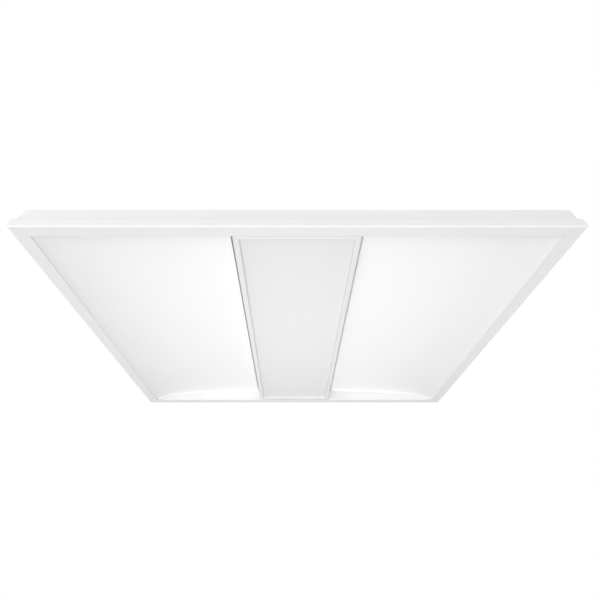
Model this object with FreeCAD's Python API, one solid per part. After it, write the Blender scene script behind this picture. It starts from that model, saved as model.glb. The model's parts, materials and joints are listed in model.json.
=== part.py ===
"""Square recessed troffer light for a 2 ft ceiling grid.

Millimetres. The origin is the centre of the face, on the underside of its flange, which is the
ceiling plane. +Z points up into the ceiling void, Y runs along the centre lens, X across it.
Front is -Y, left is -X.
"""
import FreeCAD, Part
import math
import os

V = FreeCAD.Vector
Z_AXIS = V(0, 0, 1)

# ---- driving sizes ----
# face frame: four mitred rails
face_size = 603.0            # outer edge to outer edge, fits a 2 ft grid
flange_width = 17.0
frame_sheet = 0.8
frame_bend_radius = 1.2
lip_height = 11.3
lip_lean = math.radians(9.5)
lip_return = 2.2             # the lip's rim, turned in over the pan's foot
key_leg = 40.0               # corner key, along each rail
key_width = 6.0
key_sheet = 0.8
key_gap = 0.7                # key to the pan's wall

# housing pan
pan_sheet = 0.7
pan_top = 28.3               # top of the roof above the ceiling plane
pan_foot_inset = 2.6         # wall's foot from the face's outer edge
pan_lean = math.radians(10.3)
pan_foot_width = 6.7
pan_edge_radius = 1.2

# side reflectors: the visible curve is three tangent arcs
reflector_sheet = 0.5
reflector_foot_width = 6.0
turn_run = 7.0               # end of the tight arc, from the flange's inner edge
turn_height = 5.4
shoulder_run = 48.0          # end of the middle arc, from the flange's inner edge
shoulder_height = 15.0
inner_height = 21.5          # where the curve meets the lens's side
reflector_hook = 12.0        # edge turned out under the pan's roof
reflector_end_lip = 3.0      # edge turned down at both ends
reflector_end_gap = 0.6      # end lip to end wall

# end walls of the recess
end_wall_sheet = 0.5
end_wall_setback = 0.2       # behind the flange's inner edge
end_wall_foot = 6.0
end_wall_side_gap = 1.0

# lens: a flat panel that lies in a frame of four mitred sheet bars
lens_half_width = 70.5       # outer faces of the frame's long bars
lens_end_gap = 1.4           # frame to end wall
lens_slot = 5.0              # frame to the reflectors' inner edges
lens_bottom = 1.0            # frame's lower face
lens_border = 7.5            # width of that face
lens_lip = 4.0               # inner lip under the panel, from the lower face up
lens_frame_sheet = 0.8
lens_frame_bend = 3.5        # lower face to the outer walls
lens_lip_bend = 1.2
lens_edge_top = 22.0         # top of the outer walls beyond the legs
lens_leg_top = 31.0          # top of the long bars' walls, which are the legs in the rails
lens_leg_end_gap = 3.0       # legs end this far inside the rails' ends
panel_thickness = 2.0
panel_clearance = 0.3        # panel's edges to the frame's walls

# lens rails
rail_wall = 0.8
rail_leg_clearance = 0.5     # each side of the lens's leg
rail_leg_head = 0.7          # above the leg
rail_grip = 5.7              # depth of the slot
rail_foot = 10.0
rail_screw_count = 4

# engine channel
channel_sheet = 0.8
channel_lens_gap = 9.3       # outer face to the lens's legs
channel_end_inset = 39.5     # ends to the face's outer edges
channel_top = 45.8
channel_flange = 10.0
channel_rail_gap = 2.5       # end wall to the lens rails' ends
rivet_radius = 1.6
rivet_head_radius = 3.2
rivet_head_height = 1.1
rivet_tail = 0.9
channel_rivet_count = 4      # each long side
channel_rivet_margin = 24.0

# LED boards
board_width = 24.0
board_end_gap = 11.2         # to the channel's end walls
board_thickness = 1.4
board_offset = 32.0          # board's centre line from the lens's
package_length = 3.5
package_width = 2.8
package_height = 0.8
package_pitch = 13.5
package_margin = 8.0
board_screw_count = 4        # each board
board_screw_offset = 8.0     # from the board's centre line
board_screw_margin = 18.0
screw_radius = 1.5
screw_head_radius = 2.9
screw_head_height = 1.8
screw_clearance = 0.1
screw_tail = 1.0
head_rounding = 0.6          # rounding of a head's rim, as a share of its height
connector_length = 9.0
connector_width = 6.0
connector_height = 4.2
connector_edge = 1.0         # from the board's inner edge
connector_margin = 45.0      # link lead's connectors from the board's end

# driver box on the channel
box_sheet = 0.8
box_side_inset = 7.8         # from the channel's sides
box_end_inset = 44.0         # from the channel's ends
box_top = 73.0
box_flange = 7.0             # feet turned out on the channel's roof
box_screw_count = 3          # each side
box_screw_margin = 28.0

# access opening and its hinged cover
access_side_margin = 14.0    # from the box's sides
access_end_margin = 18.0     # from the box's +Y end
access_length = 134.0
cover_lap = 7.0
cover_sheet = 0.8
hinge_radius = 2.2
hinge_pin_radius = 1.0
hinge_running_clearance = 0.06
hinge_lift = 2.5             # pin's centre above the roof
hinge_setback = 9.0          # pin's centre before the opening
hinge_knuckle = 24.0         # outer knuckles, and half of the middle one
hinge_gap = 0.4              # between knuckles
hinge_relief = 0.6           # plates round the other side's knuckle
leaf_depth = 14.0
finger_tab_half = 12.0
finger_tab_height = 3.4

# LED driver
driver_length = 226.0
driver_width = 52.0
driver_height = 23.0
driver_sheet = 0.8
driver_end_room = 39.2       # output end to the box's -Y wall
driver_ear = 9.0
driver_screw_offset = 15.0
driver_board_rise = 4.0
driver_board_thickness = 1.6
driver_board_gap = 3.0       # board's edge to the cover
driver_post_radius = 2.0
driver_port_half = 7.5
driver_port_height = 10.0
driver_block_depth = 10.0    # terminals at both ends of the board
driver_block_height = 8.0
driver_block_inset = 0.5     # terminals inside the ports' width
component_height = 13.0      # transformer, capacitors and heat sink
component_gap = 6.0
transformer_half = 12.0
capacitor_radius = 6.0
capacitor_x = 8.0
capacitor_count = 2
sink_thickness = 2.5
sink_length = 60.0
sink_x = -18.0

# supply side
entry_radius = 11.1          # opening for a half-inch fitting
entry_offset = 26.0
knockout_clearance = 0.15
terminal_length = 20.0
terminal_width = 24.0
terminal_height = 13.0
terminal_pitch = 7.5
terminal_x = 32.0
terminal_run = 82.0          # driver's supply end to the block's middle
port_clearance = 0.6         # port round a supply wire
ground_rail_gap = 5.2        # ground screw to the lens rail's foot
ground_run = 60.0            # ground screw to the block's middle
ground_screw_radius = 2.0
ground_head_radius = 3.8
ground_head_height = 2.2
lug_radius = 4.2
lug_sheet = 0.8
lug_tongue = 10.0
lug_barrel_length = 4.0
lug_barrel_height = 3.6

# leads
lead_radius = 0.9
supply_lead_radius = 1.2
bushing_hole_radius = 6.0
bushing_wall = 1.2
bushing_rim = 1.6
bushing_rim_height = 1.2
bushing_setback = 18.0       # from the driver's output ear
lead_spacing = 3.0
link_sag = 1.5               # middle of the lead between the boards

# grid clips and hanger tabs
clip_sheet = 1.2
clip_width = 14.0
clip_reach = 58.0            # pivot to tip
clip_step = 13.0             # pivot to the riser
clip_raise = 12.5            # the arm clears the top of a 38 mm grid tee
clip_edge_distance = 24.0    # pivot from the pan's top edge
clip_end_distance = 111.5    # pivot from the face's front or back edge
clip_rivet_radius = 2.0
clip_rivet_head = 4.2
clip_running_clearance = 0.08
hanger_side_distance = 81.5  # hole from the face's side edge
hanger_end_distance = 51.5   # hole from the face's front or back edge
hanger_hole_radius = 3.2
hanger_sheet = 1.0
hanger_width = 18.0
hanger_rise = 9.0
hanger_foot = 14.0
hanger_shelf = 16.0

# ---- places worked out from them ----
face_half = face_size / 2
recess_half = face_half - flange_width
pan_foot_half = face_half - pan_foot_inset
pan_top_half = pan_foot_half - (pan_top - frame_sheet) * math.tan(pan_lean)
pan_roof_under = pan_top - pan_sheet
end_wall_face = recess_half + end_wall_setback
channel_half_width = lens_half_width + channel_lens_gap
channel_half_length = face_half - channel_end_inset
channel_inner_half = channel_half_width - channel_sheet
channel_ceiling = channel_top - channel_sheet
channel_inner_end = channel_half_length - channel_sheet
rail_end = channel_inner_end - channel_rail_gap
rail_slot_top = lens_leg_top + rail_leg_head
rail_bottom = rail_slot_top - rail_grip
rail_web_face = lens_half_width - lens_frame_sheet - rail_leg_clearance
rail_outer = lens_half_width + rail_leg_clearance + rail_wall
rail_screw_x = rail_web_face - rail_wall - (rail_foot - rail_wall) / 2
ground_x = rail_web_face - rail_foot - ground_rail_gap
reflector_inner = lens_half_width + lens_slot
reflector_half_length = end_wall_face - reflector_end_gap
lens_half_length = end_wall_face - lens_end_gap
panel_under = lens_bottom + lens_lip
board_half_length = channel_inner_end - board_end_gap
board_face = channel_ceiling - board_thickness
connector_x = board_offset - board_width / 2 + connector_edge
connector_z = board_face - connector_height / 2
link_y = board_half_length - connector_margin
box_half_width = channel_half_width - box_side_inset
box_half_length = channel_half_length - box_end_inset
box_ceiling = box_top - box_sheet
box_inner_half = box_half_width - box_sheet
box_inner_end = box_half_length - box_sheet
access_half_width = box_half_width - access_side_margin
access_end = box_half_length - access_end_margin
access_start = access_end - access_length
hinge_y = access_start - hinge_setback
hinge_z = box_top + hinge_lift
driver_start = driver_end_room - box_inner_end
driver_end = driver_start + driver_length
driver_deck = channel_top + driver_sheet
driver_board_under = driver_deck + driver_board_rise
driver_board_top = driver_board_under + driver_board_thickness
driver_board_start = driver_start + driver_sheet + driver_board_gap
driver_board_end = driver_end - driver_sheet - driver_board_gap
driver_lead_z = driver_board_top + driver_block_height / 2
bushing_y = driver_start - driver_ear - bushing_setback
clip_x = pan_top_half - clip_edge_distance
clip_y = face_half - clip_end_distance
hanger_x = face_half - hanger_side_distance
hanger_y = face_half - hanger_end_distance
entry_z = (channel_top + box_ceiling) / 2
terminal_y = driver_end + terminal_run
ground_y = terminal_y - ground_run
terminal_front = terminal_y - terminal_length / 2
terminal_port_z = channel_top + terminal_height / 2
lug_mouth_y = ground_y + lug_tongue
lug_lead_z = channel_top + lug_barrel_height / 2


# ---- helpers ----
def block(x0, x1, y0, y1, z0, z1):
    """Box between two corners."""
    return Part.makeBox(x1 - x0, y1 - y0, z1 - z0, V(x0, y0, z0))


def rod(radius, height, x, y, z, direction=Z_AXIS):
    return Part.makeCylinder(radius, height, V(x, y, z), direction)


def moved(shape, x=0.0, y=0.0, z=0.0):
    copy = shape.copy()
    copy.translate(V(x, y, z))
    return copy


def turned(shape, degrees):
    """Copy turned about the vertical axis through the origin."""
    copy = shape.copy()
    copy.rotate(V(0, 0, 0), Z_AXIS, degrees)
    return copy


def mirror_x(shape):
    """Mirror image on the other side of the YZ plane."""
    return shape.mirror(V(0, 0, 0), V(1, 0, 0))


def mirror_y(shape):
    """Mirror image on the other side of the XZ plane."""
    return shape.mirror(V(0, 0, 0), V(0, 1, 0))


def group(shapes):
    return Part.makeCompound(shapes)


def spread(reach, count):
    """Evenly spaced values from -reach to reach."""
    return [reach * (2 * i / (count - 1) - 1) for i in range(count)]


def both_sides(x, ys):
    return [(side * x, y) for side in (-1, 1) for y in ys]


def rounded_path(points, radii):
    """Open wire through points, each inner corner rounded by a tangent arc."""
    edges = []
    start = points[0]
    for before, corner, after, radius in zip(points, points[1:], points[2:], radii):
        way_in = (before - corner).normalize()
        way_out = (after - corner).normalize()
        half_angle = way_in.getAngle(way_out) / 2
        tangent = radius / math.tan(half_angle)
        middle = (way_in + way_out).normalize()
        arc_start = corner + way_in * tangent
        arc_end = corner + way_out * tangent
        arc_middle = corner + middle * (radius / math.sin(half_angle) - radius)
        edges.append(Part.makeLine(start, arc_start))
        edges.append(Part.Arc(arc_start, arc_middle, arc_end).toShape())
        start = arc_end
    edges.append(Part.makeLine(start, points[-1]))
    return Part.Wire(edges)


def strip_face(wire, thickness):
    """Face of a bent sheet: the wire is one skin, and the sheet lies on its side."""
    return wire.makeOffset2D(thickness, 2, True, True, False)


def polygon_xz(points, y):
    """Face in the plane y, from (x, z) points."""
    corners = [V(x, y, z) for x, z in points]
    return Part.Face(Part.makePolygon(corners + corners[:1]))


def polygon_yz(points, x):
    """Face in the plane x, from (y, z) points."""
    corners = [V(x, y, z) for y, z in points]
    return Part.Face(Part.makePolygon(corners + corners[:1]))


def drilled(shape, places, radius, z0, z1):
    """Shape with a vertical hole at each place."""
    for x, y in places:
        shape = shape.cut(rod(radius, z1 - z0, x, y, z0))
    return shape


def fastener(radius, head_radius, head_height, length, place, z, up=1):
    """Screw or rivet: its domed head stands on z, and its shank goes the other way."""
    x, y = place
    head = rod(head_radius, head_height, x, y, z, V(0, 0, up))
    crown = z + up * head_height
    rim = [e for e in head.Edges if e.Closed and abs(e.CenterOfMass.z - crown) < head_height / 4]
    head = head.makeFillet(head_height * head_rounding, rim)
    return head.fuse(rod(radius, length, x, y, z, V(0, 0, -up)))


def lead(points, radius):
    """Insulated wire along points, with arcs as large as its runs allow."""
    radii = []
    for before, corner, after in zip(points, points[1:], points[2:]):
        shorter = min((before - corner).Length, (after - corner).Length)
        turn = math.pi - (before - corner).getAngle(after - corner)
        radii.append(0.45 * shorter / math.tan(turn / 2))
    path = rounded_path(points, radii)
    profile = Part.Wire(Part.makeCircle(radius, points[0], points[1] - points[0]))
    tube = path.makePipeShell([profile], True, False)
    ratio = tube.Volume / (path.Length * math.pi * radius ** 2)
    print("lead radii", [round(r, 1) for r in radii], "volume over section times length", round(ratio, 4))
    return tube


# ---- places of the fasteners ----
def channel_rivet_places():
    x = channel_half_width + channel_flange / 2
    return both_sides(x, spread(channel_half_length - channel_rivet_margin, channel_rivet_count))


def board_screw_places():
    reach = board_half_length - board_screw_margin
    return both_sides(board_offset + board_screw_offset, spread(reach, board_screw_count))


def rail_screw_places():
    return both_sides(rail_screw_x, spread(rail_end - board_screw_margin, rail_screw_count))


def box_screw_places():
    x = box_half_width + box_flange / 2
    return both_sides(x, spread(box_half_length - box_screw_margin, box_screw_count))


def driver_screw_places():
    ys = [driver_start - driver_ear / 2, driver_end + driver_ear / 2]
    return both_sides(driver_screw_offset, ys)


def clip_places():
    return both_sides(clip_x, [-clip_y, clip_y])


# ---- face frame ----
def frame_section():
    """Closed section of one rail in the YZ plane, for the rail at -Y."""
    r = frame_bend_radius
    s = frame_sheet

    def at(inset, z):
        return V(0, inset - face_half, z)

    def on_bend(radius, angle):
        return at(r + radius * math.cos(angle), r + radius * math.sin(angle))

    def on_lip(offset, z):
        foot_z = r * (1 + math.sin(lip_lean))
        inset = r * (1 - math.cos(lip_lean)) + (z - foot_z) * math.tan(lip_lean)
        return at(inset + offset / math.cos(lip_lean), z)

    lip_angle = math.pi - lip_lean
    bend_middle = (lip_angle + 1.5 * math.pi) / 2
    lip_top = on_lip(0, lip_height)
    rim = lip_top + V(0, lip_return, 0)
    under_rim = rim - V(0, 0, s)
    corners = [
        [at(flange_width, 0), at(r, 0)],
        [on_bend(r, lip_angle), lip_top],
        [lip_top, rim],
        [rim, under_rim],
        [under_rim, on_lip(s, lip_height - s)],
        [on_lip(s, lip_height - s), on_bend(r - s, lip_angle)],
        [at(r, s), at(flange_width, s)],
        [at(flange_width, s), at(flange_width, 0)],
    ]
    edges = [Part.makeLine(a, b) for a, b in corners]
    edges.append(Part.Arc(at(r, 0), on_bend(r, bend_middle), on_bend(r, lip_angle)).toShape())
    edges.append(Part.Arc(on_bend(r - s, lip_angle), on_bend(r - s, bend_middle), at(r, s)).toShape())
    return Part.Face(Part.Wire(Part.__sortEdges__(edges)))


def frame_rail():
    """Rail on the -Y side, cut to a mitre at both ends."""
    bar = moved(frame_section(), x=-face_half).extrude(V(face_size, 0, 0))
    reach = 2 * flange_width
    corners = [
        V(-face_half, -face_half, -1),
        V(face_half, -face_half, -1),
        V(face_half - reach, reach - face_half, -1),
        V(reach - face_half, reach - face_half, -1),
    ]
    outline = Part.Face(Part.makePolygon(corners + corners[:1]))
    return bar.common(outline.extrude(V(0, 0, lip_height + 2)))


def corner_keys():
    """Four L plates on the flanges across the mitres, where the pan's foot leaves room."""
    outer = pan_foot_half - pan_sheet / math.cos(pan_lean) - key_gap
    inner = outer - key_width
    tip = outer - key_leg
    z0 = frame_sheet
    along_x = block(tip, outer, inner, outer, z0, z0 + key_sheet)
    along_y = block(inner, outer, tip, outer, z0, z0 + key_sheet)
    key = along_x.fuse(along_y).removeSplitter()
    return group([turned(key, 90 * i) for i in range(4)])


# ---- pan ----
def tapered_block(half_foot, half_top, z0, z1, radius):
    """Square frustum with its upper and corner edges rounded."""
    def square(half, z):
        corners = [V(-half, -half, z), V(half, -half, z), V(half, half, z), V(-half, half, z)]
        return Part.makePolygon(corners + corners[:1])

    solid = Part.makeLoft([square(half_foot, z0), square(half_top, z1)], True, True)
    rounded = [e for e in solid.Edges if e.CenterOfMass.z > z0 + 0.01]
    return solid.makeFillet(radius, rounded)


def housing_pan():
    """Tapered pan: four leaning walls with feet, and a roof with an opening for the channel."""
    wall_width = pan_sheet / math.cos(pan_lean)
    inner_top_half = pan_top_half + pan_sheet * math.tan(pan_lean) - wall_width
    outer = tapered_block(pan_foot_half, pan_top_half, frame_sheet, pan_top, pan_edge_radius)
    inner = tapered_block(pan_foot_half - wall_width, inner_top_half, frame_sheet, pan_roof_under,
                          pan_edge_radius - 0.5 * pan_sheet)
    pan = outer.cut(inner)
    foot_outer = pan_foot_half - wall_width / 2
    foot_inner = foot_outer - pan_foot_width
    foot_half = pan_foot_half - wall_width - key_gap - key_leg - key_gap
    foot = block(-foot_half, foot_half, -foot_outer, -foot_inner, frame_sheet, frame_sheet + pan_sheet)
    for i in range(4):
        pan = pan.fuse(turned(foot, 90 * i))
    pan = pan.cut(block(-channel_inner_half, channel_inner_half, -channel_inner_end, channel_inner_end,
                        pan_roof_under - 1, pan_top + 1))
    low = pan_roof_under - 1
    high = pan_top + 1
    pan = drilled(pan, channel_rivet_places(), rivet_radius + screw_clearance, low, high)
    pan = drilled(pan, clip_places(), clip_rivet_radius + screw_clearance, low, high)
    return pan.removeSplitter()


# ---- reflectors and end walls ----
def rising_arc(start, end, end_slope):
    """Arc from start up to end in the XZ plane, ending at the slope; returns it and its slope at start."""
    chord = end - start
    chord_slope = math.atan2(abs(chord.z), abs(chord.x))
    bulge = (chord.Length / 2) * math.tan((chord_slope - end_slope) / 2)
    normal = V(-chord.z, 0, chord.x).normalize()
    if normal.z < 0:
        normal = V(0, 0, 0) - normal
    arc = Part.Arc(start, (start + end) / 2 + normal * bulge, end).toShape()
    return arc, 2 * chord_slope - end_slope


def reflector_curve(y):
    """The visible curve on the +X side, from the flange's inner edge to the lens, level at the lens."""
    def at(run, z):
        return V(recess_half - run, y, z)

    foot = at(0, frame_sheet)
    turn = at(turn_run, turn_height)
    shoulder = at(shoulder_run, shoulder_height)
    inner = V(reflector_inner, y, inner_height)
    gentle, slope = rising_arc(shoulder, inner, 0.0)
    middle, slope = rising_arc(turn, shoulder, slope)
    tight, slope = rising_arc(foot, turn, slope)
    return [tight, middle, gentle]


def reflector_right():
    """Sheet with a foot on the flange, the curve, and an inner edge hooked under the pan's roof."""
    y0 = -reflector_half_length
    foot_start = V(recess_half + reflector_foot_width, y0, frame_sheet)
    foot_end = V(recess_half, y0, frame_sheet)
    inner = V(reflector_inner, y0, inner_height)
    hook = V(reflector_inner, y0, pan_roof_under)
    hook_end = hook + V(reflector_hook, 0, 0)
    curve = reflector_curve(y0)
    edges = [Part.makeLine(foot_start, foot_end)] + curve
    edges += [Part.makeLine(inner, hook), Part.makeLine(hook, hook_end)]
    run = V(0, 2 * reflector_half_length, 0)
    sheet = strip_face(Part.Wire(edges), -reflector_sheet).extrude(run)
    lip = strip_face(Part.Wire(curve), reflector_end_lip).extrude(V(0, reflector_sheet, 0))
    lip_room = block(reflector_inner, recess_half - reflector_sheet, y0, y0 + reflector_sheet,
                     frame_sheet + reflector_sheet, pan_roof_under)
    lip = lip.common(lip_room)
    sheet = sheet.fuse(lip).fuse(mirror_y(lip))
    sheet = drilled(sheet, channel_rivet_places(), rivet_radius + screw_clearance,
                    pan_roof_under - 2 * reflector_sheet, pan_top)
    return sheet.removeSplitter()


def end_wall_front():
    """Plate across the recess at -Y, with a foot on the flange and a top edge under the pan's roof."""
    s = end_wall_sheet
    half = recess_half - end_wall_side_gap
    face = -end_wall_face
    back = face - s
    foot = face - end_wall_foot
    z0 = frame_sheet
    z1 = pan_roof_under
    section = [(face, z0), (face, z1), (foot, z1), (foot, z1 - s), (back, z1 - s), (back, z0 + s),
               (foot, z0 + s), (foot, z0)]
    return polygon_yz(section, -half).extrude(V(2 * half, 0, 0))


# ---- lens ----
def lens_frame_bar(outer, half_run, top):
    """Bar along Y on the +X side, with an inner lip, a lower face and an outer wall, mitred at both ends."""
    inner = outer - lens_border
    skin = rounded_path([
        V(inner, -half_run, panel_under),
        V(inner, -half_run, lens_bottom),
        V(outer, -half_run, lens_bottom),
        V(outer, -half_run, top),
    ], [lens_lip_bend, lens_frame_bend])
    bar = strip_face(skin, lens_frame_sheet).extrude(V(0, 2 * half_run, 0))
    reach = 2 * lens_border
    corners = [
        V(outer, -half_run, 0),
        V(outer, half_run, 0),
        V(outer - reach, half_run - reach, 0),
        V(outer - reach, reach - half_run, 0),
    ]
    outline = Part.Face(Part.makePolygon(corners + corners[:1]))
    return bar.common(outline.extrude(V(0, 0, top + 1)))


def lens_frame_right():
    """Long bar, with its wall raised to a leg only as far as the rail that grips it."""
    bar = lens_frame_bar(lens_half_width, lens_half_length, lens_leg_top)
    leg_end = rail_end - lens_leg_end_gap
    for y_low, y_high in ((-lens_half_length - 1, -leg_end), (leg_end, lens_half_length + 1)):
        bar = bar.cut(block(lens_half_width - lens_border, lens_half_width + 1, y_low, y_high,
                            lens_edge_top, lens_leg_top + 1))
    return bar


def lens_frame_front():
    """Short bar at -Y."""
    return turned(lens_frame_bar(lens_half_length, lens_half_width, lens_edge_top), -90)


def lens():
    """Flat diffuser panel, lying on the frame's inner lips."""
    edge = lens_frame_sheet + panel_clearance
    half_x = lens_half_width - edge
    half_y = lens_half_length - edge
    return block(-half_x, half_x, -half_y, half_y, panel_under, panel_under + panel_thickness)


def lens_rail_right():
    """Extrusion under the channel's roof, with a slot that is open downwards for the lens's leg."""
    w = rail_wall
    face = rail_web_face
    section = [
        (face - rail_foot, channel_ceiling), (face, channel_ceiling), (face, rail_slot_top + w),
        (rail_outer, rail_slot_top + w), (rail_outer, rail_bottom), (rail_outer - w, rail_bottom),
        (rail_outer - w, rail_slot_top), (face, rail_slot_top), (face, rail_bottom),
        (face - w, rail_bottom), (face - w, channel_ceiling - w), (face - rail_foot, channel_ceiling - w),
    ]
    rail = polygon_xz(section, -rail_end).extrude(V(0, 2 * rail_end, 0))
    return drilled(rail, rail_screw_places(), screw_radius + screw_clearance,
                   channel_ceiling - w - 1, channel_top)


# ---- engine channel and LED boards ----
def engine_channel():
    """Inverted channel with closed ends and feet on the pan's roof."""
    shell = block(-channel_half_width, channel_half_width, -channel_half_length, channel_half_length,
                  pan_top, channel_top)
    feet = block(-channel_half_width - channel_flange, channel_half_width + channel_flange,
                 -channel_half_length - channel_flange, channel_half_length + channel_flange,
                 pan_top, pan_top + channel_sheet)
    hollow = block(-channel_inner_half, channel_inner_half, -channel_inner_end, channel_inner_end,
                   pan_top, channel_ceiling)
    channel = shell.fuse(feet).cut(hollow)
    low = channel_ceiling - 1
    high = channel_top + 1
    hole = screw_radius + screw_clearance
    channel = drilled(channel, channel_rivet_places(), rivet_radius + screw_clearance, pan_top - 1,
                      pan_top + channel_sheet + 1)
    for places in (board_screw_places(), rail_screw_places(), box_screw_places(), driver_screw_places()):
        channel = drilled(channel, places, hole, low, high)
    channel = drilled(channel, [(0, bushing_y)], bushing_hole_radius, low, high)
    channel = drilled(channel, [(ground_x, ground_y)], ground_screw_radius + screw_clearance, low, high)
    return channel.removeSplitter()


def led_board_right():
    board = block(board_offset - board_width / 2, board_offset + board_width / 2,
                  -board_half_length, board_half_length, board_face, channel_ceiling)
    return drilled(board, board_screw_places(), screw_radius + screw_clearance, board_face - 1, channel_top)


def led_packages_right():
    count = int(2 * (board_half_length - package_margin) // package_pitch) + 1
    half_w = package_width / 2
    half_l = package_length / 2
    return group([block(board_offset - half_w, board_offset + half_w, y - half_l, y + half_l,
                        board_face - package_height, board_face)
                  for y in spread((count - 1) * package_pitch / 2, count)])


def board_connectors():
    """Poke-in connectors near both ends of each board, their mouths towards the centre."""
    half = connector_width / 2
    bodies = []
    for y in (bushing_y, link_y):
        body = block(connector_x, connector_x + connector_length, y - half, y + half,
                     board_face - connector_height, board_face)
        bodies += [body, mirror_x(body)]
    return group(bodies)


def screws(places, held, z, up=1):
    """Screws whose heads stand on z, through sheets of the held thickness."""
    length = held + screw_tail
    return [fastener(screw_radius, screw_head_radius, screw_head_height, length, place, z, up)
            for place in places]


def board_screws():
    board = screws(board_screw_places(), board_thickness + channel_sheet, board_face, -1)
    rail = screws(rail_screw_places(), rail_wall + channel_sheet, channel_ceiling - rail_wall, -1)
    return group(board + rail)


def channel_rivets():
    length = channel_sheet + pan_sheet + reflector_sheet + rivet_tail
    return group([fastener(rivet_radius, rivet_head_radius, rivet_head_height, length, place,
                           pan_top + channel_sheet) for place in channel_rivet_places()])


# ---- driver box and access cover ----
def driver_box():
    """Open-bottomed box on the channel's roof, with supply entries at +Y and an access opening on top."""
    end = box_half_length
    foot_half = box_half_width + box_flange
    shell = block(-box_half_width, box_half_width, -end, end, channel_top, box_top)
    feet = block(-foot_half, foot_half, -end, end, channel_top, channel_top + box_sheet)
    hollow = block(-box_inner_half, box_inner_half, -box_inner_end, box_inner_end, channel_top, box_ceiling)
    access = block(-access_half_width, access_half_width, access_start, access_end,
                   box_ceiling - 1, box_top + 1)
    box = shell.fuse(feet).cut(hollow).cut(access)
    for side in (-1, 1):
        box = box.cut(rod(entry_radius, 2 * box_sheet, side * entry_offset, box_inner_end - box_sheet / 2,
                          entry_z, V(0, 1, 0)))
    box = drilled(box, box_screw_places(), screw_radius + screw_clearance, channel_top - 1,
                  channel_top + box_sheet + 1)
    return box.removeSplitter()


def driver_box_screws():
    return group(screws(box_screw_places(), box_sheet + channel_sheet, channel_top + box_sheet))


def knockout_disc():
    """Disc still held in the second supply entry."""
    radius = entry_radius - knockout_clearance
    return rod(radius, box_sheet, -entry_offset, box_inner_end, entry_z, V(0, 1, 0))


def knuckle(x0, x1):
    """Rolled knuckle round the hinge pin, from x0 to x1."""
    along = V(1, 0, 0)
    barrel = rod(hinge_radius, x1 - x0, x0, hinge_y, hinge_z, along)
    bore = rod(hinge_pin_radius + hinge_running_clearance, x1 - x0, x0, hinge_y, hinge_z, along)
    return barrel, bore


def hinge_leaf():
    """Fixed leaf on the box's roof, with the two outer knuckles."""
    inner = hinge_knuckle + hinge_gap
    outer = inner + hinge_knuckle
    back = hinge_y - hinge_radius - hinge_relief
    leaf = block(-outer, outer, back - leaf_depth, back, box_top, box_top + cover_sheet)
    bores = []
    for x0 in (-outer, inner):
        barrel, bore = knuckle(x0, x0 + hinge_knuckle)
        root = block(x0, x0 + hinge_knuckle, back, hinge_y, box_top, box_top + cover_sheet)
        leaf = leaf.fuse(root).fuse(barrel)
        bores.append(bore)
    for bore in bores:
        leaf = leaf.cut(bore)
    return leaf.removeSplitter()


def hinge_pin():
    reach = 2 * hinge_knuckle + hinge_gap
    return rod(hinge_pin_radius, 2 * reach, -reach, hinge_y, hinge_z, V(1, 0, 0))


def access_cover():
    """Flat cover over the access opening, with the middle knuckle and a finger tab."""
    half = access_half_width + cover_lap
    front = hinge_y + hinge_radius + hinge_relief
    end = access_end + cover_lap
    top = box_top + cover_sheet
    cover = block(-half, half, front, end, box_top, top)
    barrel, bore = knuckle(-hinge_knuckle, hinge_knuckle)
    root = block(-hinge_knuckle, hinge_knuckle, hinge_y, front, box_top, top)
    tab = block(-finger_tab_half, finger_tab_half, end - cover_sheet, end, box_top, top + finger_tab_height)
    return cover.fuse(root).fuse(barrel).fuse(tab).cut(bore).removeSplitter()


# ---- driver ----
def driver_base():
    """Plate with two ears and the posts that carry the board."""
    half = driver_width / 2
    base = block(-half, half, driver_start - driver_ear, driver_end + driver_ear, channel_top, driver_deck)
    hole = screw_radius + screw_clearance
    base = drilled(base, driver_screw_places(), hole, channel_top - 1, driver_deck + 1)
    for x, y in driver_post_places():
        base = base.fuse(rod(driver_post_radius, driver_board_rise, x, y, driver_deck))
    return base


def driver_post_places():
    inset = 3 * driver_post_radius
    x = driver_width / 2 - driver_sheet - driver_board_gap - inset
    return both_sides(x, [driver_board_start + inset, driver_board_end - inset])


def driver_cover():
    """Shell over the board, with a port at each end for the leads."""
    half = driver_width / 2
    top = channel_top + driver_height
    shell = block(-half, half, driver_start, driver_end, driver_deck, top)
    hollow = block(driver_sheet - half, half - driver_sheet, driver_start + driver_sheet,
                   driver_end - driver_sheet, driver_deck, top - driver_sheet)
    port = block(-driver_port_half, driver_port_half, driver_start - 1, driver_end + 1,
                 driver_board_top, driver_board_top + driver_port_height)
    return shell.cut(hollow).cut(port)


def driver_board():
    half = driver_width / 2 - driver_sheet - driver_board_gap
    return block(-half, half, driver_board_start, driver_board_end, driver_board_under, driver_board_top)


def driver_components():
    """Terminals at both ends, a transformer, capacitors and a heat sink, all on the board."""
    z = driver_board_top
    top = z + component_height
    middle = (driver_board_start + driver_board_end) / 2
    beside = transformer_half + component_gap
    half = driver_port_half - driver_block_inset
    bodies = [block(-half, half, y, y + driver_block_depth, z, z + driver_block_height)
              for y in (driver_board_start, driver_board_end - driver_block_depth)]
    bodies.append(block(-transformer_half, transformer_half, middle - transformer_half,
                        middle + transformer_half, z, top))
    bodies.append(block(sink_x, sink_x + sink_thickness, middle - beside - sink_length, middle - beside,
                        z, top))
    for i in range(capacitor_count):
        y = middle + beside + capacitor_radius + i * (2 * capacitor_radius + component_gap)
        bodies.append(rod(capacitor_radius, component_height, capacitor_x, y, z))
    return group(bodies)


def driver_screws():
    return group(screws(driver_screw_places(), driver_sheet + channel_sheet, driver_deck))


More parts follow.
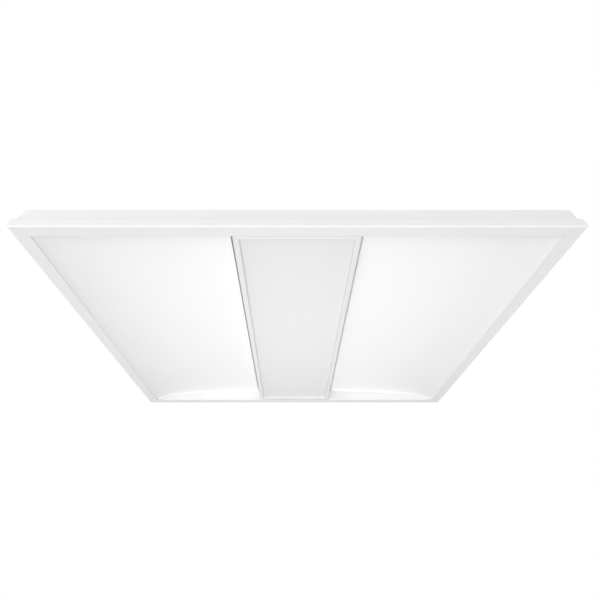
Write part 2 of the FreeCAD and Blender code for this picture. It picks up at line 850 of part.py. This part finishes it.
# ---- wiring ----
def lead_bushing():
    """Flanged bushing in the channel's roof."""
    outer = bushing_hole_radius - screw_clearance
    z0 = channel_ceiling - bushing_rim_height
    sleeve = rod(outer, channel_top - z0, 0, bushing_y, z0)
    rim = rod(bushing_hole_radius + bushing_rim, bushing_rim_height, 0, bushing_y, channel_top)
    bore = rod(outer - bushing_wall, channel_top - z0 + bushing_rim_height, 0, bushing_y, z0)
    return sleeve.fuse(rim).cut(bore).removeSplitter()


def output_lead(side):
    """From the driver's output, down through the bushing and out to a board's connector."""
    x = side * lead_spacing / 2
    return lead([
        V(x, driver_board_start, driver_lead_z),
        V(x, bushing_y, driver_lead_z),
        V(x, bushing_y, connector_z),
        V(side * connector_x, bushing_y, connector_z),
    ], lead_radius)


def board_link_lead():
    """From board to board at the far end, level at both ends and sagging between them."""
    return lead([
        V(-connector_x, link_y, connector_z),
        V(-connector_x / 2, link_y, connector_z),
        V(0, link_y, connector_z - link_sag),
        V(connector_x / 2, link_y, connector_z),
        V(connector_x, link_y, connector_z),
    ], lead_radius)


def supply_lead(x_driver, x_terminal):
    """From the driver's supply end across to the terminal block, in three runs."""
    run = (terminal_front - driver_board_end) / 3
    return lead([
        V(x_driver, driver_board_end, driver_lead_z),
        V(x_driver, driver_board_end + run, driver_lead_z),
        V(x_terminal, terminal_front - run, terminal_port_z),
        V(x_terminal, terminal_front, terminal_port_z),
    ], supply_lead_radius)


def line_lead():
    return supply_lead(-driver_port_half / 2, terminal_x - terminal_pitch)


def neutral_lead():
    return supply_lead(driver_port_half / 2, terminal_x)


def ground_lead():
    """From the terminal block down to the ground lug, in three runs."""
    x = terminal_x + terminal_pitch
    run = (terminal_front - lug_mouth_y) / 3
    return lead([
        V(x, terminal_front, terminal_port_z),
        V(x, terminal_front - run, terminal_port_z),
        V(ground_x, lug_mouth_y + run, lug_lead_z),
        V(ground_x, lug_mouth_y, lug_lead_z),
    ], supply_lead_radius)


def terminal_block():
    """Three-way push-in block, with round wire ports on the supply side."""
    half = terminal_width / 2
    back = terminal_y + terminal_length / 2
    body = block(terminal_x - half, terminal_x + half, terminal_front, back, channel_top,
                 channel_top + terminal_height)
    for i in (-1, 0, 1):
        body = body.cut(rod(supply_lead_radius + port_clearance, terminal_length / 2,
                            terminal_x + i * terminal_pitch, terminal_y, terminal_port_z, V(0, 1, 0)))
    return body


def ground_lug():
    """Ring lug under the ground screw, with a crimped barrel."""
    ring = rod(lug_radius, lug_sheet, ground_x, ground_y, channel_top)
    half = lug_radius / 2
    tongue = block(ground_x - half, ground_x + half, ground_y, lug_mouth_y,
                   channel_top, channel_top + lug_sheet)
    barrel = block(ground_x - half, ground_x + half, lug_mouth_y - lug_barrel_length, lug_mouth_y,
                   channel_top, channel_top + lug_barrel_height)
    lug = ring.fuse(tongue).fuse(barrel).removeSplitter()
    return drilled(lug, [(ground_x, ground_y)], ground_screw_radius + screw_clearance, channel_top - 1,
                   channel_top + lug_sheet + 1)


def ground_screw():
    length = lug_sheet + channel_sheet + screw_tail
    return fastener(ground_screw_radius, ground_head_radius, ground_head_height, length,
                    (ground_x, ground_y), channel_top + lug_sheet)


# ---- clips and hanger tabs ----
def grid_clip(place, towards):
    """Joggled arm on a rivet: it lies along the side and swings out over the grid tee."""
    x, y = place
    half = clip_width / 2
    s = clip_sheet
    rise = clip_raise
    section = [(0, 0), (clip_step, 0), (clip_step, rise - s), (clip_reach, rise - s), (clip_reach, rise),
               (clip_step - s, rise), (clip_step - s, s), (0, s)]
    arm = polygon_yz([(towards * a, b) for a, b in section], -half).extrude(V(clip_width, 0, 0))
    clip = arm.fuse(rod(half, s, 0, 0, 0)).removeSplitter()
    clip = clip.cut(rod(clip_rivet_radius + clip_running_clearance, s + 2, 0, 0, -1))
    return moved(clip, x, y, pan_top)


def clip_rivets():
    length = clip_sheet + pan_sheet + rivet_tail
    return group([fastener(clip_rivet_radius, clip_rivet_head, rivet_head_height, length, place,
                           pan_top + clip_sheet) for place in clip_places()])


def hanger_tabs():
    """Joggled tabs on the pan's roof, each with a hole for a safety wire."""
    s = hanger_sheet
    half = hanger_width / 2
    reach = hanger_shelf / 2
    top = pan_top + hanger_rise
    riser = reach + s
    section = [(-reach, top - s), (-reach, top), (riser, top), (riser, pan_top + s),
               (riser + hanger_foot, pan_top + s), (riser + hanger_foot, pan_top),
               (reach, pan_top), (reach, top - s)]
    tab = polygon_xz(section, -half).extrude(V(0, hanger_width, 0))
    tab = tab.cut(rod(hanger_hole_radius, s + 2, 0, 0, top - s - 1))
    tabs = []
    for y in (-hanger_y, hanger_y):
        tabs.append(moved(mirror_x(tab), hanger_x, y))
        tabs.append(moved(tab, -hanger_x, y))
    return group(tabs)


# ---- the nodes ----
def build():
    rail = frame_rail()
    front_wall = end_wall_front()
    right_bar = lens_frame_right()
    front_bar = lens_frame_front()
    right_reflector = reflector_right()
    right_rail = lens_rail_right()
    right_board = led_board_right()
    right_packages = led_packages_right()
    return {
        "frame_rail_front": rail,
        "frame_rail_right": turned(rail, 90),
        "frame_rail_back": turned(rail, 180),
        "frame_rail_left": turned(rail, 270),
        "corner_keys": corner_keys(),
        "housing_pan": housing_pan(),
        "reflector_right": right_reflector,
        "reflector_left": mirror_x(right_reflector),
        "end_wall_front": front_wall,
        "end_wall_back": mirror_y(front_wall),
        "lens": lens(),
        "lens_frame_right": right_bar,
        "lens_frame_left": mirror_x(right_bar),
        "lens_frame_front": front_bar,
        "lens_frame_back": mirror_y(front_bar),
        "lens_rail_right": right_rail,
        "lens_rail_left": mirror_x(right_rail),
        "engine_channel": engine_channel(),
        "channel_rivets": channel_rivets(),
        "led_board_right": right_board,
        "led_board_left": mirror_x(right_board),
        "led_packages_right": right_packages,
        "led_packages_left": mirror_x(right_packages),
        "board_connectors": board_connectors(),
        "board_screws": board_screws(),
        "driver_box": driver_box(),
        "driver_box_screws": driver_box_screws(),
        "knockout_disc": knockout_disc(),
        "hinge_leaf": hinge_leaf(),
        "hinge_pin": hinge_pin(),
        "access_cover": access_cover(),
        "driver_base": driver_base(),
        "driver_cover": driver_cover(),
        "driver_board": driver_board(),
        "driver_components": driver_components(),
        "driver_screws": driver_screws(),
        "lead_bushing": lead_bushing(),
        "lead_positive": output_lead(1),
        "lead_negative": output_lead(-1),
        "board_link_lead": board_link_lead(),
        "terminal_block": terminal_block(),
        "line_lead": line_lead(),
        "neutral_lead": neutral_lead(),
        "ground_lead": ground_lead(),
        "ground_lug": ground_lug(),
        "ground_screw": ground_screw(),
        "grid_clip_right_front": grid_clip((clip_x, -clip_y), 1),
        "grid_clip_right_back": grid_clip((clip_x, clip_y), -1),
        "grid_clip_left_front": grid_clip((-clip_x, -clip_y), 1),
        "grid_clip_left_back": grid_clip((-clip_x, clip_y), -1),
        "clip_rivets": clip_rivets(),
        "hanger_tabs": hanger_tabs(),
    }


os.makedirs("parts", exist_ok=True)
for name, shape in build().items():
    shape.exportStep("parts/" + name + ".step")
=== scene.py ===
"""Looks of a square recessed troffer light: materials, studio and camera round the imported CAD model.

Metres, in the CAD frame: the origin is the centre of the face on the ceiling plane, +Z points up
into the ceiling void, and Y runs along the centre lens.
"""
import bpy
import json
import math
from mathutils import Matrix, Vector

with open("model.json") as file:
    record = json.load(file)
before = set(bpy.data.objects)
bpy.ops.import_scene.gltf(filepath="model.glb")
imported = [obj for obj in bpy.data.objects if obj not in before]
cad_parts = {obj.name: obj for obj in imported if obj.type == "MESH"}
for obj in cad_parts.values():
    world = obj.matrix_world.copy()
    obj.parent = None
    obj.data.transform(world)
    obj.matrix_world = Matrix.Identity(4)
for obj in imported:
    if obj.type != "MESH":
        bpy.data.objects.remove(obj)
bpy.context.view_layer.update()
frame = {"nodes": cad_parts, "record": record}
nodes = frame["nodes"]

# ---- camera, fitted to the four corners of the face in the photograph ----
SENSOR = 36.0
FOCAL = 29.718
PITCH = math.radians(28.916)
CAMERA_PLACE = (-0.0063, -0.7136, -0.3145)
SHIFT_X = 0.01435

# ---- studio ----
FLOOR_Z = -2.4
FLOOR_HALF = 7.0
WORLD_FILL = 0.40            # what the world gives to matt surfaces
FLOOR_COLOUR = 0.80
FLOOR_LIFT = 0.52            # what the camera sees of the floor on top of its own light
LAMP_TARGET = (0.0, 0.0, 0.0)
LAMPS = (                    # name, place, diameter, power in watts
    ("key", (-0.4, -2.0, -2.0), 2.2, 12.0),
    ("near_key", (-0.15, -1.7, -1.2), 1.2, 6.6),
    ("near_fill", (-0.9, -2.6, -0.3), 2.4, 40.0),
    ("below", (0.0, 0.2, -2.2), 2.6, 7.2),
    ("centre_fill", (0.0, 0.0, -0.6), 0.5, 0.92),
    ("back_light", (0.6, 1.2, 1.9), 1.4, 30.0),
)

# ---- sizes that the materials follow, as in the CAD ----
RECESS_HALF = 0.2845         # centre to the flange's inner edge
PANEL_UNDER = 0.005          # lower face of the lens panel
LENS_HALF_WIDTH = 0.0705
LENS_HALF_LENGTH = 0.2833
PACKAGE_PITCH = 0.0135
PACKAGE_FIRST = -0.23625
BOARD_X = 0.032

# ---- sizes of what the materials add ----
SHEET_EDGE = 0.0003          # softened edge of coated sheet
LENS_FRAME_EDGE = 0.001
UNDER_TOLERANCE = 0.0002     # how far above the panel's lower face still counts as that face
LATTICE_HALF_WIDTH = 0.0615
LATTICE_HALF_LENGTH = 0.258
LATTICE_PITCH = 0.0023
LATTICE_DEPTH = 0.00015
WINDOW_HALF_LENGTH = 0.0013  # phosphor window of an LED package
WINDOW_HALF_WIDTH = 0.001

# ---- tones chosen to come close to the photograph, not known of the real surfaces ----
REFLECTOR_MIDDLE = 0.98
# painted shade: the reflectors' grey at their outer edges, where the steep parts lie in shade
REFLECTOR_PAINTED_SHADE_OUTER = 0.84
LENS_PALE = 0.98
LENS_DEEP = 0.65
# painted shade: how much greyer the lens turns towards its sides and its ends
LENS_PAINTED_SIDE_SHADE = 0.28
LENS_PAINTED_END_SHADE = 0.4
LENS_SHADE_RANGE = (-1.7, 1.0)

# ---- colours ----
PACKAGE_FRAME = (0.85, 0.85, 0.82)
PHOSPHOR = (0.9, 0.62, 0.1)

# the white pieces by the first word of their names; all others have the frame's paint
PAINTS = {"lens": "lens", "reflector": "reflector", "end": "end", "engine": "reflector"}


class Surface:
    """A node material round one Principled shader, with textures in the frame's own coordinates."""

    def __init__(self, name, colour, roughness, metallic=0.0):
        self.material = bpy.data.materials.new(name)
        self.material.use_nodes = True
        self.tree = self.material.node_tree
        self.tree.nodes.clear()
        self.shader = self.add("ShaderNodeBsdfPrincipled")
        output = self.add("ShaderNodeOutputMaterial")
        self.join(self.shader.outputs["BSDF"], output.inputs["Surface"])
        self.shader.inputs["Base Color"].default_value = (*colour, 1.0)
        self.shader.inputs["Roughness"].default_value = roughness
        self.shader.inputs["Metallic"].default_value = metallic
        self.place = self.add("ShaderNodeTexCoord").outputs["Object"]
        self.normal = None

    def add(self, kind, **settings):
        node = self.tree.nodes.new(kind)
        for key, value in settings.items():
            setattr(node, key, value)
        return node

    def join(self, source, target):
        self.tree.links.new(source, target)

    def scaled(self, x, y, z):
        """The place, stretched along the axes, for grain that runs one way."""
        node = self.add("ShaderNodeMapping")
        node.inputs["Scale"].default_value = (x, y, z)
        self.join(self.place, node.inputs["Vector"])
        return node.outputs["Vector"]

    def noise(self, scale, detail=2.0, place=None):
        node = self.add("ShaderNodeTexNoise")
        node.inputs["Scale"].default_value = scale
        node.inputs["Detail"].default_value = detail
        self.join(place or self.place, node.inputs["Vector"])
        return node.outputs["Fac"]

    def cells(self, scale, feature="F1"):
        node = self.add("ShaderNodeTexVoronoi", feature=feature)
        node.inputs["Scale"].default_value = scale
        self.join(self.place, node.inputs["Vector"])
        return node

    def axis(self, name):
        node = self.add("ShaderNodeSeparateXYZ")
        self.join(self.place, node.inputs["Vector"])
        return node.outputs[name]

    def math(self, operation, first, second=None):
        node = self.add("ShaderNodeMath", operation=operation)
        for socket, value in zip(node.inputs, (first, second)):
            if value is None:
                continue
            if isinstance(value, (int, float)):
                socket.default_value = value
            else:
                self.join(value, socket)
        return node.outputs["Value"]

    def spread(self, factor, low, high, start=0.0, end=1.0):
        """The factor from start to end, drawn out to low up to high."""
        node = self.add("ShaderNodeMapRange")
        for name, value in (("From Min", start), ("From Max", end), ("To Min", low), ("To Max", high)):
            node.inputs[name].default_value = value
        self.join(factor, node.inputs["Value"])
        return node.outputs["Result"]

    def ramp(self, factor, low, high, start=0.0, end=1.0):
        """Colour from low to high as the factor goes from start to end."""
        node = self.add("ShaderNodeValToRGB")
        first, last = node.color_ramp.elements
        first.position, first.color = start, (*low, 1.0)
        last.position, last.color = end, (*high, 1.0)
        self.join(factor, node.inputs["Fac"])
        return node.outputs["Color"]

    def colour(self, socket):
        self.join(socket, self.shader.inputs["Base Color"])

    def roughness(self, socket):
        self.join(socket, self.shader.inputs["Roughness"])

    def soft_edges(self, radius):
        node = self.add("ShaderNodeBevel", samples=4)
        node.inputs["Radius"].default_value = radius
        self.normal = node.outputs["Normal"]
        self.join(self.normal, self.shader.inputs["Normal"])

    def relief(self, height, distance, strength=1.0):
        node = self.add("ShaderNodeBump")
        node.inputs["Distance"].default_value = distance
        node.inputs["Strength"].default_value = strength
        self.join(height, node.inputs["Height"])
        if self.normal is not None:
            self.join(self.normal, node.inputs["Normal"])
        self.normal = node.outputs["Normal"]
        self.join(self.normal, self.shader.inputs["Normal"])


def grey(value):
    return (value, value, value)


# ---- materials ----
def orange_peel(surface, roughness, edge):
    """A coat's uneven gloss and fine relief, over softened edges."""
    surface.roughness(surface.spread(surface.noise(60.0, 2.0), roughness - 0.04, roughness + 0.05))
    surface.soft_edges(edge)
    surface.relief(surface.noise(650.0, 2.0), 0.00002, 0.6)


def powder_coat(name, value, roughness, edge=SHEET_EDGE):
    """White powder coat: a fine orange peel, with faint clouds in its colour."""
    surface = Surface(name, grey(value), roughness)
    clouds = surface.noise(9.0, 3.0)
    surface.colour(surface.ramp(clouds, grey(value - 0.012), grey(value + 0.006), 0.3, 0.7))
    orange_peel(surface, roughness, edge)
    return surface.material


def reflector_paint():
    """High-reflectance white, with painted shade that makes it greyer towards the outer edges, to come
    closer to the photograph.
    """
    roughness = 0.5
    surface = Surface("reflector_paint", grey(0.96), roughness)
    surface.shader.inputs["Specular IOR Level"].default_value = 0.25
    # painted shade: greyer towards the outer edges, rising with the cube of the distance from the centre
    across = surface.math("DIVIDE", surface.math("ABSOLUTE", surface.axis("X")), RECESS_HALF)
    painted_outer_shade = surface.math("POWER", across, 3.0)
    clouds = surface.math("MULTIPLY", surface.noise(9.0, 3.0), 0.06)
    shade = surface.math("ADD", painted_outer_shade, clouds)
    surface.colour(surface.ramp(shade, grey(REFLECTOR_MIDDLE), grey(REFLECTOR_PAINTED_SHADE_OUTER)))
    orange_peel(surface, roughness, SHEET_EDGE)
    return surface.material


def diffuser():
    """Frosted acrylic with a fine checker lattice in its lower face, and painted shade that makes it
    greyer towards its sides and ends.
    """
    surface = Surface("diffuser", grey(0.86), 0.34)
    x = surface.axis("X")
    y = surface.axis("Y")
    turn = 2 * math.pi / LATTICE_PITCH
    first = surface.math("SINE", surface.math("MULTIPLY", x, turn))
    second = surface.math("SINE", surface.math("MULTIPLY", y, turn))
    in_width = surface.math("LESS_THAN", surface.math("ABSOLUTE", x), LATTICE_HALF_WIDTH)
    in_length = surface.math("LESS_THAN", surface.math("ABSOLUTE", y), LATTICE_HALF_LENGTH)
    under = surface.math("LESS_THAN", surface.axis("Z"), PANEL_UNDER + UNDER_TOLERANCE)
    patch = surface.math("MULTIPLY", under, surface.math("MULTIPLY", in_width, in_length))
    lattice = surface.math("MULTIPLY", surface.math("MULTIPLY", first, second), patch)
    # painted shade: greyer towards the lens's sides and ends, by the square of the distance from its
    # middle
    across = surface.math("POWER", surface.math("DIVIDE", x, LENS_HALF_WIDTH), 2.0)
    along = surface.math("POWER", surface.math("DIVIDE", y, LENS_HALF_LENGTH), 2.0)
    painted_side_shade = surface.math("MULTIPLY", across, LENS_PAINTED_SIDE_SHADE)
    painted_end_shade = surface.math("MULTIPLY", along, LENS_PAINTED_END_SHADE)
    shade = surface.math("SUBTRACT", lattice, surface.math("ADD", painted_side_shade, painted_end_shade))
    tone = surface.spread(shade, 0.0, 1.0, *LENS_SHADE_RANGE)
    surface.colour(surface.ramp(tone, grey(LENS_DEEP), grey(LENS_PALE)))
    surface.roughness(surface.spread(surface.noise(40.0), 0.3, 0.4))
    surface.relief(lattice, LATTICE_DEPTH, 0.6)
    return surface.material


def moulded_plastic(name, colour, roughness=0.4):
    """Moulded plastic with a fine spark-eroded grain."""
    surface = Surface(name, colour, roughness)
    high = tuple(min(1.0, c * 1.06 + 0.004) for c in colour)
    low = tuple(c * 0.93 for c in colour)
    surface.colour(surface.ramp(surface.noise(70.0, 3.0), low, high, 0.3, 0.7))
    surface.roughness(surface.spread(surface.noise(300.0), roughness - 0.06, roughness + 0.08))
    surface.soft_edges(0.0002)
    surface.relief(surface.noise(2200.0), 0.00002, 0.5)
    return surface.material


def galvanised_steel(name, low, high, spangle, roughness=0.42):
    """Zinc-coated sheet: crystal cells of slightly different grey and gloss, with rolling streaks."""
    surface = Surface(name, grey(high), roughness, metallic=1.0)
    cells = surface.cells(spangle)
    shade = surface.add("ShaderNodeSeparateColor")
    surface.join(cells.outputs["Color"], shade.inputs["Color"])
    streaks = surface.noise(1.0, 2.0, surface.scaled(6.0, 160.0, 160.0))
    mixed = surface.math("ADD", surface.math("MULTIPLY", shade.outputs["Red"], 0.65),
                         surface.math("MULTIPLY", streaks, 0.35))
    surface.colour(surface.ramp(mixed, grey(low), grey(high), 0.1, 0.9))
    surface.roughness(surface.spread(shade.outputs["Green"], roughness - 0.07, roughness + 0.08))
    surface.soft_edges(0.0003)
    surface.relief(surface.noise(240.0, 3.0), 0.00003, 0.5)
    return surface.material


def bright_metal(name, colour, roughness, streak):
    """Plated or extruded metal with fine lines along the streak's long way."""
    surface = Surface(name, colour, roughness, metallic=1.0)
    lines = surface.noise(1.0, 3.0, surface.scaled(*streak))
    low = tuple(c * 0.82 for c in colour)
    surface.colour(surface.ramp(lines, low, colour, 0.3, 0.7))
    surface.roughness(surface.spread(lines, roughness - 0.06, roughness + 0.08))
    surface.soft_edges(0.0002)
    surface.relief(lines, 0.00001, 0.6)
    return surface.material


def solder_mask(name, mask, trace):
    """Circuit board: a glossy mask over faintly raised copper areas."""
    surface = Surface(name, mask, 0.3)
    blocks = surface.cells(140.0, "DISTANCE_TO_EDGE").outputs["Distance"]
    surface.colour(surface.ramp(blocks, mask, trace, 0.04, 0.07))
    surface.roughness(surface.spread(surface.noise(90.0), 0.24, 0.38))
    surface.relief(surface.spread(blocks, 0.0, 1.0, 0.03, 0.07), 0.00004, 0.5)
    return surface.material


def led_package():
    """Pale moulded frame round a yellow phosphor window, repeated at the packages' pitch."""
    surface = Surface("led_package", PACKAGE_FRAME, 0.35)
    from_start = surface.math("SUBTRACT", surface.axis("Y"), PACKAGE_FIRST - PACKAGE_PITCH / 2)
    along = surface.math("SUBTRACT", surface.math("MODULO", from_start, PACKAGE_PITCH), PACKAGE_PITCH / 2)
    across = surface.math("SUBTRACT", surface.math("ABSOLUTE", surface.axis("X")), BOARD_X)
    in_length = surface.math("LESS_THAN", surface.math("ABSOLUTE", along), WINDOW_HALF_LENGTH)
    in_width = surface.math("LESS_THAN", surface.math("ABSOLUTE", across), WINDOW_HALF_WIDTH)
    window = surface.math("MULTIPLY", in_length, in_width)
    surface.colour(surface.ramp(window, PACKAGE_FRAME, PHOSPHOR, 0.45, 0.55))
    surface.relief(surface.math("MULTIPLY", window, -1.0), 0.0001, 0.8)
    return surface.material


def insulation(name, colour):
    """Extruded wire insulation, with a slight waviness in its gloss."""
    surface = Surface(name, colour, 0.38)
    low = tuple(c * 0.85 for c in colour)
    surface.colour(surface.ramp(surface.noise(120.0, 2.0), low, colour, 0.3, 0.7))
    surface.roughness(surface.spread(surface.noise(400.0), 0.3, 0.46))
    surface.relief(surface.noise(900.0), 0.00003, 0.5)
    return surface.material


def dress():
    """Give every CAD node its material, by the record's material slots."""
    paint = {
        "frame": powder_coat("frame_paint", 0.815, 0.42),
        "lens": powder_coat("lens_frame_paint", 0.81, 0.42, LENS_FRAME_EDGE),
        "reflector": reflector_paint(),
        "end": powder_coat("end_wall_paint", 0.85, 0.5),
    }
    streak_y = (700.0, 8.0, 700.0)
    looks = {
        "diffuser": diffuser(),
        "rail_aluminium": bright_metal("rail_aluminium", (0.8, 0.8, 0.81), 0.36, streak_y),
        "galvanised_steel": galvanised_steel("galvanised_steel", 0.56, 0.67, 210.0),
        "spring_steel": bright_metal("spring_steel", (0.6, 0.61, 0.62), 0.32, streak_y),
        "fastener_steel": bright_metal("fastener_steel", (0.68, 0.68, 0.69), 0.3, (300.0, 300.0, 300.0)),
        "tinned_copper": bright_metal("tinned_copper", (0.74, 0.72, 0.69), 0.3, (300.0, 300.0, 300.0)),
        "board_white": solder_mask("board_white", grey(0.84), grey(0.88)),
        "led_phosphor": led_package(),
        "connector_nylon": moulded_plastic("connector_nylon", (0.86, 0.85, 0.8), 0.36),
        "driver_case": powder_coat("driver_case", 0.66, 0.38),
        "board_green": solder_mask("board_green", (0.02, 0.14, 0.06), (0.03, 0.2, 0.09)),
        "component_black": moulded_plastic("component_black", (0.03, 0.03, 0.033), 0.38),
        "bushing_nylon": moulded_plastic("bushing_nylon", grey(0.025), 0.46),
        "terminal_plastic": moulded_plastic("terminal_plastic", (0.82, 0.36, 0.06), 0.34),
        "insulation_red": insulation("insulation_red", (0.55, 0.02, 0.02)),
        "insulation_blue": insulation("insulation_blue", (0.02, 0.09, 0.42)),
        "insulation_grey": insulation("insulation_grey", grey(0.4)),
        "insulation_black": insulation("insulation_black", grey(0.02)),
        "insulation_white": insulation("insulation_white", grey(0.8)),
        "insulation_green": insulation("insulation_green", (0.02, 0.26, 0.06)),
    }
    for entry in frame["record"]["subparts"]:
        name = entry["node"]
        look = looks.get(entry["material_slot"]) or paint[PAINTS.get(name.split("_")[0], "frame")]
        slots = nodes[name].data.materials
        for i in range(len(slots)):
            slots[i] = look


# ---- studio and camera ----
def seen_directly(tree):
    """1 for rays from the camera and for what metal or glass shows, else 0."""
    path = tree.nodes.new("ShaderNodeLightPath")
    total = path.outputs["Is Camera Ray"]
    for name in ("Is Glossy Ray", "Is Transmission Ray"):
        add = tree.nodes.new("ShaderNodeMath")
        add.operation = "MAXIMUM"
        tree.links.new(total, add.inputs[0])
        tree.links.new(path.outputs[name], add.inputs[1])
        total = add.outputs["Value"]
    return total


def make_world():
    """White where it is seen, and much dimmer where it lights matt surfaces."""
    world = bpy.data.worlds.new("studio")
    world.use_nodes = True
    tree = world.node_tree
    tree.nodes.clear()
    output = tree.nodes.new("ShaderNodeOutputWorld")
    background = tree.nodes.new("ShaderNodeBackground")
    strength = tree.nodes.new("ShaderNodeMapRange")
    strength.inputs["To Min"].default_value = WORLD_FILL
    strength.inputs["To Max"].default_value = 1.0
    tree.links.new(seen_directly(tree), strength.inputs["Value"])
    background.inputs["Color"].default_value = (1.0, 1.0, 1.0, 1.0)
    tree.links.new(strength.outputs["Result"], background.inputs["Strength"])
    tree.links.new(background.outputs["Background"], output.inputs["Surface"])
    bpy.context.scene.world = world


def make_floor():
    """Pale floor well below the ceiling plane, lifted to white where it is seen but not where shaded."""
    corners = [(-FLOOR_HALF, -FLOOR_HALF, FLOOR_Z), (FLOOR_HALF, -FLOOR_HALF, FLOOR_Z),
               (FLOOR_HALF, FLOOR_HALF, FLOOR_Z), (-FLOOR_HALF, FLOOR_HALF, FLOOR_Z)]
    mesh = bpy.data.meshes.new("floor")
    mesh.from_pydata(corners, [], [(0, 1, 2, 3)])
    floor = bpy.data.objects.new("floor", mesh)
    bpy.context.scene.collection.objects.link(floor)
    material = bpy.data.materials.new("floor")
    material.use_nodes = True
    tree = material.node_tree
    tree.nodes.clear()
    output = tree.nodes.new("ShaderNodeOutputMaterial")
    diffuse = tree.nodes.new("ShaderNodeBsdfDiffuse")
    diffuse.inputs["Color"].default_value = (*grey(FLOOR_COLOUR), 1.0)
    glow = tree.nodes.new("ShaderNodeEmission")
    lift = tree.nodes.new("ShaderNodeMath")
    lift.operation = "MULTIPLY"
    lift.inputs[1].default_value = FLOOR_LIFT
    tree.links.new(seen_directly(tree), lift.inputs[0])
    tree.links.new(lift.outputs["Value"], glow.inputs["Strength"])
    both = tree.nodes.new("ShaderNodeAddShader")
    tree.links.new(diffuse.outputs["BSDF"], both.inputs[0])
    tree.links.new(glow.outputs["Emission"], both.inputs[1])
    tree.links.new(both.outputs["Shader"], output.inputs["Surface"])
    mesh.materials.append(material)


def make_lamps():
    """Soft round lamps, all turned to the same target."""
    for name, place, diameter, power in LAMPS:
        lamp = bpy.data.lights.new(name, "AREA")
        lamp.shape = "DISK"
        lamp.size = diameter
        lamp.energy = power
        lamp_object = bpy.data.objects.new(name, lamp)
        lamp_object.location = place
        towards = Vector(LAMP_TARGET) - Vector(place)
        lamp_object.rotation_euler = towards.to_track_quat("-Z", "Y").to_euler()
        bpy.context.scene.collection.objects.link(lamp_object)


def make_camera():
    camera = bpy.data.cameras.new("camera")
    camera.sensor_width = SENSOR
    camera.lens = FOCAL
    camera.shift_x = SHIFT_X
    camera_object = bpy.data.objects.new("camera", camera)
    camera_object.location = CAMERA_PLACE
    camera_object.rotation_euler = (math.pi / 2 + PITCH, 0.0, 0.0)
    bpy.context.scene.collection.objects.link(camera_object)
    bpy.context.scene.camera = camera_object
    bpy.context.scene.view_settings.view_transform = "Standard"


dress()
make_world()
make_floor()
make_lamps()
make_camera()
